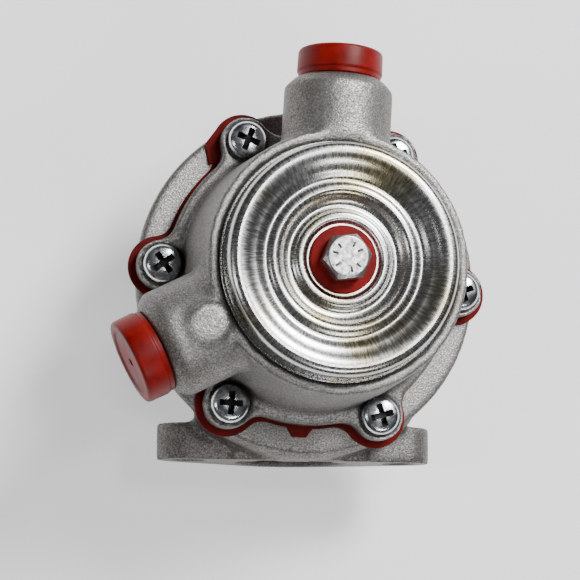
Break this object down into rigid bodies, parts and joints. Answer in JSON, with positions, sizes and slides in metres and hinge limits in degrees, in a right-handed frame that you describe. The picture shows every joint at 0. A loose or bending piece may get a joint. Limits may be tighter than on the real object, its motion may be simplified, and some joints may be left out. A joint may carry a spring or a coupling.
{
  "type": "fuel lift pump",
  "caption": "Mechanical diaphragm fuel lift pump: cast two-part body, domed steel cover, two capped side ports and a two-bolt engine flange.",
  "frame": {"origin": "middle of the two engine flange bolt holes, on the mating face", "axes": "-Y out of the mating face towards the engine, +Z along the diaphragm axis towards the cover, +X along the flange"},
  "size_m": [0.0959, 0.0968, 0.0808],
  "materials": {
    "cast_aluminium": "rough sand-cast aluminium",
    "plated_steel": "bright zinc-plated pressed steel",
    "zinc_steel": "bright zinc-plated fastener",
    "dark_steel": "hardened and oiled steel",
    "spring_steel": "drawn spring wire",
    "red_plastic": "moulded red plastic",
    "red_diaphragm": "rubbered fabric, deep red",
    "red_fibre": "vulcanised fibre",
    "black_rubber": "nitrile rubber",
    "black_plastic": "moulded nylon",
    "brass_gauze": "fine woven wire",
    "valve_brass": "turned brass",
    "valve_plastic": "flat fibre disc"
  },
  "bodies": {
    "root": {"lower_body": "cast_aluminium", "upper_body": "cast_aluminium", "top_cover": "plated_steel", "cover_seal": "black_rubber", "cover_bolt": "zinc_steel", "bolt_washer": "red_fibre", "filter_frame": "black_plastic", "filter_gauze": "brass_gauze", "body_screws": "zinc_steel", "screw_washers": "zinc_steel", "diaphragm": "red_diaphragm", "diaphragm_spring": "spring_steel", "rod_seal": "black_rubber", "seal_retainer": "plated_steel", "pivot_pin": "dark_steel", "pin_plugs": "plated_steel", "pivot_spacers": "plated_steel", "rocker_spring": "spring_steel", "outlet_valve_seat": "valve_brass", "outlet_valve_spring": "spring_steel", "outlet_valve_cage": "valve_brass", "inlet_valve_seat": "valve_brass", "inlet_valve_spring": "spring_steel", "inlet_valve_cage": "valve_brass"},
    "rocker": {"rocker_lever": "dark_steel"},
    "link": {"link_lever": "dark_steel"},
    "diaphragm_drive": {"lower_diaphragm_plate": "plated_steel", "upper_diaphragm_plate": "plated_steel", "pull_rod": "dark_steel", "rod_nut": "zinc_steel"},
    "outlet_valve_plate": {"outlet_valve_disc": "valve_plastic"},
    "inlet_valve_plate": {"inlet_valve_disc": "valve_plastic"},
    "outlet_cap": {"outlet_plug": "red_plastic"},
    "inlet_cap": {"inlet_plug": "red_plastic"}
  },
  "joints": [
    {"name": "rocker_swing", "type": "hinge", "parent": "root", "child": "rocker", "pos_m": [0, 0.018, -0.008], "axis": [-1, 0, 0], "range_deg": [0, 6.65], "stiffness_Nm_per_rad": 0.5, "springref_deg": -14.32, "deforming": ["rocker_spring"]},
    {"name": "link_swing", "type": "hinge", "parent": "root", "child": "link", "pos_m": [0, 0.018, -0.008], "axis": [-1, 0, 0], "range_deg": [0, 7]},
    {"name": "diaphragm_pull", "type": "slide", "parent": "root", "child": "diaphragm_drive", "axis": [0, 0, -1], "range_m": [0, 0.00296], "deforming": ["diaphragm_spring", "diaphragm"]},
    {"name": "outlet_valve_lift", "type": "slide", "parent": "root", "child": "outlet_valve_plate", "axis": [0, 0, 1], "range_m": [0, 0.0012], "stiffness_N_per_m": 60, "springref_m": -0.001, "deforming": ["outlet_valve_spring"]},
    {"name": "inlet_valve_lift", "type": "slide", "parent": "root", "child": "inlet_valve_plate", "axis": [0, 0, -1], "range_m": [0, 0.0012], "stiffness_N_per_m": 60, "springref_m": -0.001, "deforming": ["inlet_valve_spring"]},
    {"name": "outlet_plug_pull", "type": "slide", "parent": "root", "child": "outlet_cap", "axis": [0.0558, 0.9984, 0], "range_m": [0, 0.03]},
    {"name": "inlet_plug_pull", "type": "slide", "parent": "root", "child": "inlet_cap", "axis": [-0.8926, -0.4509, 0], "range_m": [0, 0.03]}
  ],
  "couplings": [
    {"joint": "rocker_swing", "follows": "diaphragm_pull", "rad_per_m": 38.911},
    {"joint": "link_swing", "follows": "diaphragm_pull", "rad_per_m": 38.911}
  ]
}
